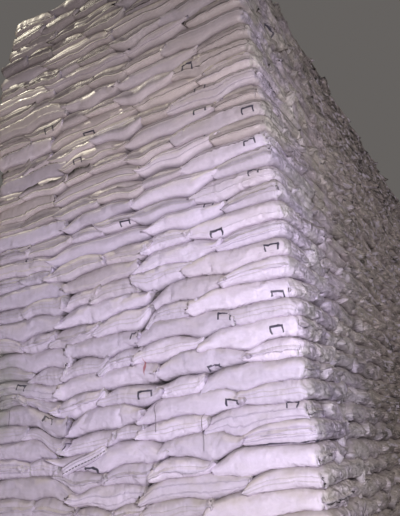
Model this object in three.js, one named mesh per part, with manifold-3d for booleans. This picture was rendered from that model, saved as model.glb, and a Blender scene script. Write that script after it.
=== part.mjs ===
// A free-standing block stack of filled woven sacks, laid flat in courses.
// Each course is one solid: V-shaped gaps in its four faces part the sacks,
// and its rim is drawn in above and below, so that the beds between the courses show as grooves.
// The top course also has the gaps between its sacks cut into its upper side.
import * as THREE from 'three';
import { mergeVertices } from 'three/addons/utils/BufferGeometryUtils.js';
import Module from 'manifold-3d';

// Driving dimensions, in millimetres
const courseCount = 42;
const lowestCourseHeight = 144; // pressed flattest by the load on it
const courseHeightGrowth = 0.81; // what each course is thicker than the one below
const bedClearance = 0.3; // between one course and the next
const baseWidth = 3230; // along X, the face that shows five or six sacks
const baseDepth = 9300; // along Y, the long face

// The faces lean in: a little at front and back, a curved batter on the right, a shoulder on the left
const frontLeanPerMetre = 3.8;
const batterStart = 2400;
const batterAtTop = 195;
const shoulderCourses = 4;
const shoulderStep = 52;

// The sacks lie in blocks, some lengthways and the rest crossways, and each course swaps the two
const cornerBlockWidth = 1380; // one sack's length and one sack's width
const cornerBlocks = 10;
const sideBlocks = 7;
const longShare = 0.62; // of a block's width, where the sacks lie crossways to the face
const headerPitch = 465; // a sack seen from its end, squeezed between its neighbours

// How the faces are shaped
const gapDepth = 48; // from the sacks' faces to the root of a gap, and to the rim of the bed
const gapHalfWidth = 34;
const cornerRound = 75;
const crownHeight = 46; // of the top sacks above the roots of the gaps between them
const crownInset = 70;
const crownGap = 14;

const wasm = await Module();
wasm.setup();

const sackMaterial = new THREE.MeshStandardMaterial({
  name: 'woven_sack',
  color: new THREE.Color(0.72, 0.68, 0.76),
  roughness: 0.62,
  metalness: 0,
});

function courseFloor(course) {
  return course * lowestCourseHeight + (courseHeightGrowth * course * (course - 1)) / 2;
}

const stackHeight = courseFloor(courseCount);

// The four vertical faces of a course, before the gaps are cut
function courseRectangle(course) {
  const level = courseFloor(course);
  const lean = (frontLeanPerMetre * level) / 1000;
  const batterReach = Math.max(0, level - batterStart) / (stackHeight - batterStart);
  const shoulder = shoulderStep * Math.max(0, course - (courseCount - 1 - shoulderCourses));
  return {
    left: -baseWidth / 2 + shoulder,
    right: baseWidth / 2 - batterAtTop * batterReach ** 2,
    front: -baseDepth / 2 + lean,
    back: baseDepth / 2 - lean,
  };
}

// Cuts a run from start to end into equal places, as [start, end] pairs
function equalPlaces(start, end, count) {
  const step = (end - start) / count;
  return Array.from({ length: count }, (_, i) => [start + i * step, start + (i + 1) * step]);
}

// The corner column: two sacks across and one along in each block
function cornerColumn(course, rectangle) {
  const inner = rectangle.right - cornerBlockWidth;
  const sacks = [];
  equalPlaces(rectangle.front, rectangle.back, cornerBlocks).forEach(([y0, y1], block) => {
    const crosswaysOutside = (course + block) % 2 === 0;
    const outerShare = crosswaysOutside ? longShare : 1 - longShare;
    const split = rectangle.right - cornerBlockWidth * outerShare;
    const outerCount = crosswaysOutside ? 2 : 1;
    for (const [a, b] of equalPlaces(y0, y1, outerCount)) {
      sacks.push({ x0: split, x1: rectangle.right, y0: a, y1: b });
    }
    for (const [a, b] of equalPlaces(y0, y1, 3 - outerCount)) {
      sacks.push({ x0: inner, x1: split, y0: a, y1: b });
    }
  });
  return sacks;
}

// The side column: a row of sacks end on, and two sacks lengthways, in each block
function sideColumn(course, rectangle) {
  const inner = rectangle.right - cornerBlockWidth;
  const headers = Math.round((inner - rectangle.left) / headerPitch);
  const sacks = [];
  equalPlaces(rectangle.front, rectangle.back, sideBlocks).forEach(([y0, y1], block) => {
    const headersInFront = (course + block) % 2 === 0;
    const split = y0 + (y1 - y0) * (headersInFront ? longShare : 1 - longShare);
    const frontCount = headersInFront ? headers : 2;
    const rearCount = headersInFront ? 2 : headers;
    for (const [a, b] of equalPlaces(rectangle.left, inner, frontCount)) {
      sacks.push({ x0: a, x1: b, y0, y1: split });
    }
    for (const [a, b] of equalPlaces(rectangle.left, inner, rearCount)) {
      sacks.push({ x0: a, x1: b, y0: split, y1 });
    }
  });
  return sacks;
}

function sacksOfCourse(course) {
  const rectangle = courseRectangle(course);
  return [...cornerColumn(course, rectangle), ...sideColumn(course, rectangle)];
}

// The four sides of a course, anticlockwise from above, each with its gaps' distances from its start
function sidesOfCourse(course) {
  const { left, right, front, back } = courseRectangle(course);
  const sacks = sacksOfCourse(course);
  const near = (a, b) => Math.abs(a - b) < 1;
  const inOrder = (distances) => distances.sort((a, b) => a - b).slice(1);
  const width = right - left;
  const depth = back - front;
  return [
    {
      start: [left, front],
      along: [1, 0],
      length: width,
      gaps: inOrder(sacks.filter((s) => near(s.y0, front)).map((s) => s.x0 - left)),
    },
    {
      start: [right, front],
      along: [0, 1],
      length: depth,
      gaps: inOrder(sacks.filter((s) => near(s.x1, right)).map((s) => s.y0 - front)),
    },
    {
      start: [right, back],
      along: [-1, 0],
      length: width,
      gaps: inOrder(sacks.filter((s) => near(s.y1, back)).map((s) => right - s.x1)),
    },
    {
      start: [left, back],
      along: [0, -1],
      length: depth,
      gaps: inOrder(sacks.filter((s) => near(s.x0, left)).map((s) => back - s.y1)),
    },
  ];
}

// A point on a side, at a distance from its start and an inset from its face
function pointOnSide(side, distance, inset) {
  const [ax, ay] = side.along;
  return [
    side.start[0] + ax * distance - ay * inset,
    side.start[1] + ay * distance + ax * inset,
  ];
}

// Round the course: every corner and gap root, each with the stretch of sack that follows it
function stretchesOfCourse(course) {
  const stretches = [];
  for (const side of sidesOfCourse(course)) {
    const stops = [0, ...side.gaps, side.length];
    for (let i = 0; i + 1 < stops.length; i += 1) {
      const fromCorner = i === 0;
      const toCorner = i + 2 === stops.length;
      const root = fromCorner
        ? pointOnSide(side, gapDepth, gapDepth)
        : pointOnSide(side, stops[i], gapDepth);
      const begin = stops[i] + (fromCorner ? cornerRound : gapHalfWidth);
      const end = stops[i + 1] - (toCorner ? cornerRound : gapHalfWidth);
      stretches.push({
        isCorner: fromCorner,
        root,
        begin: pointOnSide(side, begin, 0),
        end: pointOnSide(side, end, 0),
      });
    }
  }
  return stretches;
}

// One closed body: a fan above, a fan below and two bands of facets round the rim
function courseGeometry(course, floor, ceiling) {
  const stretches = stretchesOfCourse(course);
  const count = stretches.length;
  const waist = floor + (ceiling - floor) * 0.46;
  const points = [];
  const facets = [];
  const addPoint = ([x, y], z) => points.push(x, y, z) / 3 - 1;
  const upperRoots = stretches.map((s) => addPoint(s.root, ceiling));
  const lowerRoots = stretches.map((s) => addPoint(s.root, floor));
  const begins = stretches.map((s) => addPoint(s.begin, waist));
  const ends = stretches.map((s) => addPoint(s.end, waist));
  const upperMiddle = addPoint([0, 0], ceiling);
  const lowerMiddle = addPoint([0, 0], floor);
  for (let i = 0; i < count; i += 1) {
    const next = (i + 1) % count;
    facets.push([upperMiddle, upperRoots[i], upperRoots[next]]);
    facets.push([lowerMiddle, lowerRoots[next], lowerRoots[i]]);
    facets.push([begins[i], ends[i], upperRoots[next]]);
    facets.push([begins[i], upperRoots[next], upperRoots[i]]);
    facets.push([lowerRoots[i], lowerRoots[next], ends[i]]);
    facets.push([lowerRoots[i], ends[i], begins[i]]);
    if (stretches[next].isCorner) {
      facets.push([ends[i], begins[next], upperRoots[next]]);
      facets.push([lowerRoots[next], begins[next], ends[i]]);
    } else {
      facets.push([ends[i], lowerRoots[next], upperRoots[next]]);
      facets.push([lowerRoots[next], begins[next], upperRoots[next]]);
    }
  }
  const geometry = new THREE.BufferGeometry();
  geometry.setAttribute('position', new THREE.Float32BufferAttribute(points, 3));
  geometry.setIndex(facets.flat());
  return geometry;
}

// The crown of one top sack: a box drawn in towards its upper side
function crownGeometry(x0, x1, y0, y1, floor, ceiling) {
  const width = x1 - x0;
  const depth = y1 - y0;
  const height = ceiling - floor;
  const geometry = new THREE.BoxGeometry(width, depth, height);
  geometry.deleteAttribute('normal');
  geometry.deleteAttribute('uv');
  const position = geometry.attributes.position;
  for (let i = 0; i < position.count; i += 1) {
    const inset = position.getZ(i) > 0 ? crownInset : 0;
    const x = position.getX(i);
    const y = position.getY(i);
    position.setX(i, x - Math.sign(x) * inset);
    position.setY(i, y - Math.sign(y) * inset);
  }
  geometry.translate((x0 + x1) / 2, (y0 + y1) / 2, (floor + ceiling) / 2);
  return mergeVertices(geometry);
}

function toManifold(geometry) {
  return new wasm.Manifold(new wasm.Mesh({
    numProp: 3,
    vertProperties: Float32Array.from(geometry.attributes.position.array),
    triVerts: Uint32Array.from(geometry.index.array),
  }));
}

function toGeometry(solid) {
  const mesh = solid.getMesh();
  const geometry = new THREE.BufferGeometry();
  geometry.setAttribute('position', new THREE.BufferAttribute(mesh.vertProperties, 3));
  geometry.setIndex(new THREE.BufferAttribute(mesh.triVerts, 1));
  return geometry;
}

// The top course: a lower slab, and on it a crown for each of its sacks
function topCourseGeometry(course, floor, ceiling) {
  const { left, right, front, back } = courseRectangle(course);
  const slabTop = ceiling - crownHeight;
  let solid = toManifold(courseGeometry(course, floor, slabTop));
  const sunk = 8; // how deep a crown reaches into the slab
  for (const sack of sacksOfCourse(course)) {
    const x0 = Math.max(sack.x0 + crownGap, left + gapDepth);
    const x1 = Math.min(sack.x1 - crownGap, right - gapDepth);
    const y0 = Math.max(sack.y0 + crownGap, front + gapDepth);
    const y1 = Math.min(sack.y1 - crownGap, back - gapDepth);
    solid = solid.add(toManifold(crownGeometry(x0, x1, y0, y1, slabTop - sunk, ceiling)));
  }
  return toGeometry(solid);
}

const stack = new THREE.Group();
for (let course = 0; course < courseCount; course += 1) {
  const floor = courseFloor(course);
  const ceiling = courseFloor(course + 1) - bedClearance;
  const isTop = course === courseCount - 1;
  const geometry = isTop
    ? topCourseGeometry(course, floor, ceiling)
    : courseGeometry(course, floor, ceiling);
  const mesh = new THREE.Mesh(geometry, sackMaterial.clone());
  mesh.name = `course_${String(course + 1).padStart(2, '0')}`;
  stack.add(mesh);
}

export default stack;
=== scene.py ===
import math
import time
from functools import cache
import bpy
import numpy as np
from mathutils import Matrix, Vector


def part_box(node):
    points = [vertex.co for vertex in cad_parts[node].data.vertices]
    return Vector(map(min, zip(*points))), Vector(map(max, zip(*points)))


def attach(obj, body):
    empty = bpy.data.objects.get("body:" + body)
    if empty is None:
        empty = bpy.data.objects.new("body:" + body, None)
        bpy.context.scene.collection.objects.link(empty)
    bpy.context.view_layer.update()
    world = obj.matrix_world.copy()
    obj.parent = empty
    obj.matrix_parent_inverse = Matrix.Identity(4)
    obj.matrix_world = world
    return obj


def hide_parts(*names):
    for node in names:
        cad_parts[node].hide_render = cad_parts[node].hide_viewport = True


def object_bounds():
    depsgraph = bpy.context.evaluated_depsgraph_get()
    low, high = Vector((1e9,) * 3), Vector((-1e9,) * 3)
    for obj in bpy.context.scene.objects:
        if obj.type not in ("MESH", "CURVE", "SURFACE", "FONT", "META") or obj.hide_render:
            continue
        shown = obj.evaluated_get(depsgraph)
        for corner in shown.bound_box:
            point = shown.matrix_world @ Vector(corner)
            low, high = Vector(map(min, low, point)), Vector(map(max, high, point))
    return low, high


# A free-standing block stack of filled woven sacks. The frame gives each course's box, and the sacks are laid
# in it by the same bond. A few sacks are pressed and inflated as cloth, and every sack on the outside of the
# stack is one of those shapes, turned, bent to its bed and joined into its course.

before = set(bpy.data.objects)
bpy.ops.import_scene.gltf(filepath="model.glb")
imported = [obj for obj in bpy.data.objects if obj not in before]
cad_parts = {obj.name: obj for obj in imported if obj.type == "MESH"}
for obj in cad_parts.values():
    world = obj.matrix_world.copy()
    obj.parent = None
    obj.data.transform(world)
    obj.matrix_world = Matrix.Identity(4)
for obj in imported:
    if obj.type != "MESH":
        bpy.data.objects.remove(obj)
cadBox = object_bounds()
startTime = time.time()
frontY = cadBox[0].y
backY = cadBox[1].y
cornerFoot = Vector((cadBox[1].x, frontY, 0))  # of the near upright corner


def report(text):
    print("scene: %s, %.0f s in" % (text, time.time() - startTime))


# Every random choice starts from one of these
seeds = {
    "cloth": 100,
    "hem": 200,
    "beds": 7,
    "joints": 500,
    "dips": 700,
    "laps": 1000,
    "sacks": 31,
    "frames": 77,
    "flap": 5,
    "inner": 12,
}


def draws(name, number=0):
    return np.random.default_rng(seeds[name] + number)


def addObject(name, data):
    obj = bpy.data.objects.new(name, data)
    bpy.context.scene.collection.objects.link(obj)
    return obj


# The camera

cameraView = {
    "fromCorner": (1.348, -4.068, 1.552),  # from the foot of the near corner, right of it and in front
    "yaw": -27.51,  # degrees, to the left of straight at the front face
    "pitch": 19.32,
    "roll": -5.48,
    "focalLength": 580.85,  # in pixels of the picture
    "pictureHeight": 516,
    "sensor": 36,
    "farthest": 300,
}


def addCamera(view):
    yaw, pitch, roll = (math.radians(view[key]) for key in ("yaw", "pitch", "roll"))
    ahead = Vector((math.sin(yaw), math.cos(yaw), 0))
    aside = Vector((math.cos(yaw), -math.sin(yaw), 0))
    upright = Vector((0, 0, 1))
    forward = ahead * math.cos(pitch) + upright * math.sin(pitch)
    raised = upright * math.cos(pitch) - ahead * math.sin(pitch)
    right = aside * math.cos(roll) + raised * math.sin(roll)
    top = raised * math.cos(roll) - aside * math.sin(roll)
    data = bpy.data.cameras.new("view")
    data.sensor_width = view["sensor"]
    data.lens = data.sensor_width * view["focalLength"] / view["pictureHeight"]
    data.clip_end = view["farthest"]
    camera = addObject("view", data)
    turn = Matrix((right, top, -forward)).transposed().to_4x4()
    camera.matrix_world = Matrix.Translation(cornerFoot + Vector(view["fromCorner"])) @ turn
    bpy.context.scene.camera = camera


addCamera(cameraView)
report("camera placed")

# The bond: how the sacks of a course lie

bond = {
    "cornerBlockWidth": 1.38,
    "cornerBlocks": 10,
    "sideBlocks": 7,
    "longShare": 0.62,  # of a block's width, where its sacks lie crossways to the face
    "headerPitch": 0.465,
    "flush": 0.001,  # how near a face a sack shows on it
}

courseNames = sorted(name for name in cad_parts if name.startswith("course_"))
courseBoxes = [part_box(name) for name in courseNames]
floors = np.array([low.z for low, high in courseBoxes] + [courseBoxes[-1][1].z])
topCourse = len(courseNames) - 1


def equalPlaces(start, end, count):
    step = (end - start) / count
    return [(start + i * step, start + (i + 1) * step) for i in range(count)]


# One sack's place, and the faces of the stack that it shows on
def laySpot(x, y, box):
    low, high = box
    sides = {"left": x[0] - low.x, "right": x[1] - high.x, "front": y[0] - low.y, "back": y[1] - high.y}
    return {
        "x": x,
        "y": y,
        "out": [side for side, distance in sides.items() if abs(distance) < bond["flush"]],
        "lift": dict.fromkeys(sides, 0.0),
        "lap": dict.fromkeys(sides, 0.0),
    }


def layCourse(course, box):
    low, high = box
    inner = high.x - bond["cornerBlockWidth"]
    headers = round((inner - low.x) / bond["headerPitch"])
    spots = []
    for block, y in enumerate(equalPlaces(low.y, high.y, bond["cornerBlocks"])):
        crossways = (course + block) % 2 == 0
        share = bond["longShare"] if crossways else 1 - bond["longShare"]
        split = high.x - bond["cornerBlockWidth"] * share
        outer = 2 if crossways else 1
        for x, count in (((split, high.x), outer), ((inner, split), 3 - outer)):
            spots += [laySpot(x, part, box) for part in equalPlaces(*y, count)]
    for block, (y0, y1) in enumerate(equalPlaces(low.y, high.y, bond["sideBlocks"])):
        headersInFront = (course + block) % 2 == 0
        split = y0 + (y1 - y0) * (bond["longShare"] if headersInFront else 1 - bond["longShare"])
        counts = (headers, 2) if headersInFront else (2, headers)
        for y, count in zip(((y0, split), (split, y1)), counts):
            spots += [laySpot(part, y, box) for part in equalPlaces(low.x, inner, count)]
    return spots


# The cloth of the sacks: a flat tube sewn at both ends, pressed between two plates while it fills

clothSack = {
    "length": 0.97,
    "width": 0.60,
    "spacing": 0.02,
    "halfGap": 0.083,  # between the two pressing plates
    "clearance": 0.004,
    "frames": 45,
    "jitter": 0.0015,
    "firstPuff": 0.014,
    "mass": 0.25,
    "lip": 0.022,  # the hem beyond the seam
    "lipHalfThickness": 0.002,
    "lipWander": 0.005,
    "seamInset": 0.014,  # from the end of the cloth to the row of stitches
    "plateReach": 16,
    "friction": 1,
    "quality": 5,
    "damping": 15,
    "shearDamping": 10,
    "overShear": 5,  # how many times stiffer it is when stretched than when sheared
    "plainHalf": (0.44, 0.252),  # length and width of a plain rounded sack
    "plainRadius": 0.076,
    "smoothRounds": 14,
    "apart": 1.4,  # from sack to sack while they fill
}

# Each is started smaller than its cloth, so that the cloth crumples as a pressed sack's does
sackKinds = [
    {"start": (0.93, 0.57), "pressure": 4.0, "stiffness": 120, "bending": 0.15},
    {"start": (0.90, 0.55), "pressure": 3.0, "stiffness": 200, "bending": 0.05},
    {"start": (0.88, 0.55), "pressure": 6.0, "stiffness": 120, "bending": 0.40},
    {"start": (0.91, 0.54), "pressure": 2.5, "stiffness": 160, "bending": 0.08},
    {"start": (0.87, 0.53), "pressure": 3.5, "stiffness": 140, "bending": 0.04},
    {"start": (0.89, 0.56), "pressure": 5.0, "stiffness": 100, "bending": 0.10},
    {"start": (0.92, 0.52), "pressure": 2.0, "stiffness": 180, "bending": 0.12},
    {"start": (0.85, 0.54), "pressure": 4.5, "stiffness": 220, "bending": 0.06},
]

alongCount = round(clothSack["length"] / clothSack["spacing"])
acrossCount = round(clothSack["width"] / clothSack["spacing"])
clothEnd = clothSack["length"] / 2
clothSide = clothSack["width"] / 2


# Faces of two layers of cells that share the vertices round their rim
@cache
def twoLayerGrid(countA, countB):
    inside = np.zeros((countA, countB), dtype=bool)
    inside[1:-1, 1:-1] = True
    numbers = np.full((2, countA, countB), -1)
    numbers[0] = np.arange(countA * countB).reshape(countA, countB)
    numbers[1] = numbers[0]
    numbers[1][inside] = countA * countB + np.arange(inside.sum())
    upper = [numbers[0, :-1, :-1], numbers[0, 1:, :-1], numbers[0, 1:, 1:], numbers[0, :-1, 1:]]
    lower = [numbers[1, :-1, :-1], numbers[1, :-1, 1:], numbers[1, 1:, 1:], numbers[1, 1:, :-1]]
    faces = np.concatenate([np.stack(part, -1).reshape(-1, 4) for part in (upper, lower)])
    return inside, numbers, faces


# The points of two layers, in that order, with the rim halfway between them
def joinLayers(upper, lower, inside):
    closed = np.where(inside[..., None], upper, (upper + lower) / 2)
    return np.concatenate([closed.reshape(-1, 3), lower[inside]])


def addMesh(name, points, faces):
    mesh = bpy.data.meshes.new(name)
    corners = faces.shape[1]
    mesh.vertices.add(len(points))
    mesh.vertices.foreach_set("co", np.asarray(points, dtype=np.float32).ravel())
    mesh.loops.add(faces.size)
    mesh.loops.foreach_set("vertex_index", faces.astype(np.int32).ravel())
    mesh.polygons.add(len(faces))
    mesh.polygons.foreach_set("loop_start", np.arange(0, faces.size, corners, dtype=np.int32))
    mesh.update(calc_edges=True)
    return addObject(name, mesh)


# A flat square about the origin, facing up or down
def addSquare(name, half, height, facing):
    corners = [(-half, -half, height), (half, -half, height), (half, half, height), (-half, half, height)]
    return addMesh(name, corners[::facing], np.array([[0, 1, 2, 3]]))


def addPlate(name, height, facing):
    plate = addSquare(name, clothSack["plateReach"], height, facing)
    plate.modifiers.new("Collision", "COLLISION")
    plate.collision.thickness_outer = clothSack["clearance"]
    plate.collision.cloth_friction = clothSack["friction"]
    return plate


# The flat cloth of one sack, as the two layers' points: where it starts, and its rest size
def flatCloth(kind, number, place):
    random = draws("cloth", number)
    a = np.linspace(-1, 1, alongCount + 1)[:, None] * np.ones(acrossCount + 1)
    b = np.linspace(-1, 1, acrossCount + 1)[None, :] * np.ones((alongCount + 1, 1))
    puff = clothSack["firstPuff"] * (1 - a**4) * (1 - b**4)
    grids = []
    for length, width in (kind["start"], (clothSack["length"], clothSack["width"])):
        x, y = a * length / 2 + place[0], b * width / 2 + place[1]
        grids.append(np.stack([np.stack([x, y, puff * side], -1) for side in (1, -1)]))
    start, rest = grids
    shake = random.normal(0, clothSack["jitter"], start.shape)
    shake[:, [0, -1]] = 0
    shake[:, :, [0, -1]] = 0
    return start + shake, rest


def addCloth(obj, kind):
    modifier = obj.modifiers.new("Cloth", "CLOTH")
    settings = modifier.settings
    settings.rest_shape_key = obj.data.shape_keys.key_blocks["rest"]
    settings.quality = clothSack["quality"]
    settings.mass = clothSack["mass"]
    settings.tension_stiffness = kind["stiffness"]
    settings.compression_stiffness = kind["stiffness"]
    settings.shear_stiffness = kind["stiffness"] / clothSack["overShear"]
    settings.bending_stiffness = kind["bending"]
    settings.tension_damping = clothSack["damping"]
    settings.compression_damping = clothSack["damping"]
    settings.shear_damping = clothSack["shearDamping"]
    settings.use_pressure = True
    settings.uniform_pressure_force = kind["pressure"]
    settings.effector_weights.gravity = 0
    modifier.collision_settings.use_collision = True
    modifier.collision_settings.distance_min = clothSack["clearance"]
    modifier.collision_settings.use_self_collision = False
    modifier.point_cache.frame_end = clothSack["frames"]


# All kinds fill side by side in one run. Gives each one's two layers of points about its own middle
def fillSacks():
    inside, numbers, faces = twoLayerGrid(alongCount + 1, acrossCount + 1)
    made = [addPlate("bench", -clothSack["halfGap"], 1), addPlate("lid", clothSack["halfGap"], -1)]
    filling = []
    for number, kind in enumerate(sackKinds):
        place = (number % 4 * clothSack["apart"], number // 4 * clothSack["apart"])
        start, rest = flatCloth(kind, number, place)
        start, rest = (np.concatenate([grid[0].reshape(-1, 3), grid[1][inside]]) for grid in (start, rest))
        obj = addMesh("filling_%d" % number, start, faces)
        obj.shape_key_add(name="Basis")
        key = obj.shape_key_add(name="rest")
        key.data.foreach_set("co", rest.ravel())
        addCloth(obj, kind)
        filling.append((obj, place))
    for number in range(1, clothSack["frames"] + 1):
        bpy.context.scene.frame_set(number)
    depsgraph = bpy.context.evaluated_depsgraph_get()
    shapes = []
    for obj, place in filling:
        vertices = obj.evaluated_get(depsgraph).data.vertices
        points = np.empty(len(vertices) * 3)
        vertices.foreach_get("co", points)
        shapes.append((points.reshape(-1, 3) - (*place, 0))[numbers])
        made.append(obj)
    for obj in made:
        mesh = obj.data
        bpy.data.objects.remove(obj)
        bpy.data.meshes.remove(mesh)
    bpy.context.scene.frame_set(1)
    return shapes


# A plain rounded sack on the same grid: flat above and below, and round at its rim
def roundedSack(halfLength, halfWidth):
    radius = clothSack["plainRadius"]

    def rim(count, half):
        cloth = half - radius + radius * math.pi / 2
        distance = np.linspace(-cloth, cloth, count + 1)
        beyond = np.clip((np.abs(distance) - (half - radius)) / radius, 0, math.pi / 2)
        place = np.minimum(np.abs(distance), half - radius) + radius * np.sin(beyond)
        return np.sign(distance) * place, np.cos(beyond)

    a, heightA = rim(alongCount, halfLength)
    b, heightB = rim(acrossCount, halfWidth)
    height = radius * heightA[:, None] * heightB[None, :]
    grid = np.empty((2, alongCount + 1, acrossCount + 1, 3))
    grid[..., 0] = a[None, :, None]
    grid[..., 1] = b[None, None, :]
    grid[0, ..., 2] = height
    grid[1, ..., 2] = -height
    return grid


def smoothed(grid, rounds):
    for _ in range(rounds):
        inner = grid[:, :-2, 1:-1] + grid[:, 2:, 1:-1] + grid[:, 1:-1, :-2] + grid[:, 1:-1, 2:]
        grid = grid.copy()
        grid[:, 1:-1, 1:-1] = grid[:, 1:-1, 1:-1] * 0.5 + inner * 0.125
    return grid


filledSacks = fillSacks()
report("%d kinds of sack filled" % len(filledSacks))


# Half of a filled sack's length, and half of its width along its middle third
def halfSizes(grid):
    middle = slice(alongCount // 3, -(alongCount // 3))
    return np.abs(grid[0, [0, -1], :, 0]).mean(), np.abs(grid[0, middle][:, [0, -1], 1]).mean()


# The mouth gets a hem beyond its seam, and the whole is scaled so that its body reaches 1 on each side
def finishShape(grid, number):
    random = draws("hem", number)
    seamed = grid.copy()
    seamed[0, -1, 1:-1, 2] += clothSack["lipHalfThickness"]
    seamed[1, -1, 1:-1, 2] -= clothSack["lipHalfThickness"]
    wander = np.cumsum(random.normal(0, clothSack["lipWander"], grid.shape[2]))
    wander -= np.linspace(wander[0], wander[-1], len(wander))
    hem = grid[:, -1:].copy()
    hem[..., 0] += clothSack["lip"]
    hem[..., 2] += wander
    whole = np.concatenate([seamed, hem], axis=1)
    return whole / (*halfSizes(grid), np.percentile(grid[0, ..., 2], 90))


# What is made of each filled sack, by what shows of it: the share of a plain rounded sack in it, for blunter
# ends, and how much stronger or weaker its creases are
sackVariants = {
    "side": (0.40, 1.3),
    "frontEnd": (0.75, 1.2),
    "end": (0.45, 2.4),
    "corner": (0.85, 1.5),
    "calmSide": (0.30, 0.15),
    "calmEnd": (0.70, 0.2),
}


def sackShapes(number, grid):
    even = smoothed(grid, clothSack["smoothRounds"])
    creases = grid - even
    rounded = roundedSack(*halfSizes(grid))
    made = {}
    for name, (share, crumpled) in sackVariants.items():
        mixed = even * (1 - share) + rounded * share + creases * crumpled
        made[name] = finishShape(mixed, number * len(sackVariants) + len(made))
    return made


shapes = [sackShapes(number, grid) for number, grid in enumerate(filledSacks)]

# Where each line of the cloth lies, in metres from the middle: along, with the hem last, and across
clothAlong = np.append(np.linspace(-clothEnd, clothEnd, alongCount + 1), clothEnd + clothSack["lip"])
clothAcross = np.linspace(-clothSide, clothSide, acrossCount + 1)

# How the stack has settled

settling = {
    "swell": 0.014,  # long waves of the beds
    "ripple": 0.006,  # from sack to sack
    "rippleStep": 0.4,
    "ripples": 64,  # before they repeat
    "inOut": 0.010,  # slow waves of the faces, out and in
    "freeFrom": 0.7,  # the height from which the beds wander freely
    "jointShift": 0.050,
    "jointShiftMost": 0.11,
    "oneOver": 0.05,  # how near two joints are, to count as one over the other
    "spread": 0.13,
    "spreadShares": (0.3, 1),
    "overfill": 1.10,
    "fullness": 0.5,  # how soon a sack fills the room between its beds, from its rim inwards
    "flatFaces": 0.9,  # added to it, high up at the left of the front, where the sacks are pressed flat
    "flatPlaces": (1.0, -0.6),  # across, from none of it to all
    "calmHeights": (2.8, 4.0),  # where the front's sacks come to lie smoother and sharper at the rim
    "dip": 0.036,  # where a sack sinks into the joint below it
    "dipWidth": 0.125,
    "dipShares": (0.45, 1.5),
    "passedOn": 0.25,  # of a dip, to the top of the sack that sank
    "pushedUp": 0.3,  # of a dip, how far a bed rises into the joint above it
    "lift": (0.008, 0.040),  # a sack's end over its neighbour's
    "scaleLift": 0.9,  # how much more at the left of the front face, where the ends lie like scales
    "scaleHeights": (2.1, 3.0),
    "scalePlaces": (0.3, -0.9),
    "lap": 0.038,
    "lapShares": (0.4, 1.4),
    "steepPlaces": ((-0.52, 1.66), (0.32, 3.02), (-0.95, 3.3), (0.6, 4.2)),  # ends pushed up much further
    "steepShare": 0.03,  # of the other joints of the front above steepFrom
    "steepFrom": 1.2,
    "steepReach": 0.24,
    "steepLift": 0.075,
    "steepShares": (0.8, 1.1),
    "skew": 0.016,  # how far one end stands further out than the other
    "lumps": 0.005,
    "liftFrom": (0.55, 0.5),  # of its half length and half width, where its ends and its edges lift
    "tipFrom": (0.86, 0.78),  # and where its corner tips begin
    "ear": 0.034,  # the corner tips of a sack, pushed out of the face
    "earPush": 1.5,
    "earTurn": 0.7,
    "sideEar": 0.014,
    "cornerRadius": 0.10,  # of the upright corner of a sack at a corner of the stack
    "overShare": 0.76,  # of the joints, where the left or nearer sack lies over the other
    "mouthOut": (0.2, 0.6),  # share of the ends that are a mouth, at the front and elsewhere
    "proud": 0.010,
    "proudMiddle": 0.004,
    "free": 0.045,  # how far out of the stack's box cloth may stand, before it is held back
    "spare": 0.050,
    "sag": 0.016,
    "grooveDepth": 0.06,  # how far in from its rim the cloth begins to darken with painted shade
    "offFloor": 0.0005,
}

# The left part of the front face, low down, stands higher than the rest, and the beds run down from it
slump = {
    "x": -0.62,
    "z": 1.85,
    "lean": 0.5,  # how fast its edge moves to the left, going up
    "run": 0.5,
    "rise": 0.13,
    "depth": 0.05,  # the hollow just beyond its edge
    "width": 0.34,
    "tall": 0.75,
    "reach": 1.2,  # how far into the stack it goes
}

rippleTable = draws("beds").normal(0, 1, (len(floors), settling["ripples"]))


def eased(share):
    return share * share * (3 - 2 * share)


# How far a value is on its way from the first of two others to the second, from 0 to 1
def passed(value, places):
    first, second = places
    return np.clip((value - first) / (second - first), 0, 1)


def swell(x, y, z):
    waves = settling["swell"] * (
        0.50 * np.sin(2 * math.pi * (x / 2.1 + z / 3.3) + 0.6)
        + 0.45 * np.sin(2 * math.pi * (y / 2.6 - z / 2.4) + 2.1)
        + 0.35 * np.sin(2 * math.pi * ((x + y) / 0.9 + z / 1.1) + 4.0)
    )
    edge = slump["x"] - slump["lean"] * (z - slump["z"])
    raised = eased(np.clip((edge - x) / slump["run"], 0, 1))
    hollow = np.exp(-(((x - edge) / slump["width"]) ** 2))
    inwards = np.clip(1 - (y - frontY) / slump["reach"], 0, 1)
    here = np.exp(-(((z - slump["z"]) / slump["tall"]) ** 2)) * inwards
    return waves + (slump["rise"] * raised - slump["depth"] * hollow) * here


def ripple(level, x, y):
    place = (x + y + 8) / settling["rippleStep"]
    cell = np.floor(place).astype(int)
    share = eased(place - cell)
    first, second = (rippleTable[level][(cell + beyond) % settling["ripples"]] for beyond in (0, 1))
    return settling["ripple"] * (first * (1 - share) + second * share)


# How much the beds may wander at a level: not at all on the floor
def freedom(level):
    return min(1, floors[level] / settling["freeFrom"])


# Each face, with the sides at its two ends and the axis along it
faceRows = (
    ("front", "left", "right", "x"),
    ("right", "front", "back", "y"),
    ("left", "front", "back", "y"),
    ("back", "left", "right", "x"),
)


# The sacks that show on one face, in order along it
def faceRow(spots, face, axis):
    return sorted((spot for spot in spots if face in spot["out"]), key=lambda spot: spot[axis][0])


# Each two sacks that lie side by side on a face, with that face's row
def neighbours(spots):
    for face, low, high, axis in faceRows:
        row = faceRow(spots, face, axis)
        for first, second in zip(row, row[1:]):
            yield face, low, high, axis, first, second


def jointPlaces(spots):
    places = {face: [] for face, low, high, axis in faceRows}
    for face, low, high, axis, first, second in neighbours(spots):
        places[face].append(second[axis][0])
    return {face: np.array(along) for face, along in places.items()}


layout = [layCourse(course, box) for course, box in enumerate(courseBoxes)]
bondJoints = [jointPlaces(spots) for spots in layout]


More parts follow.
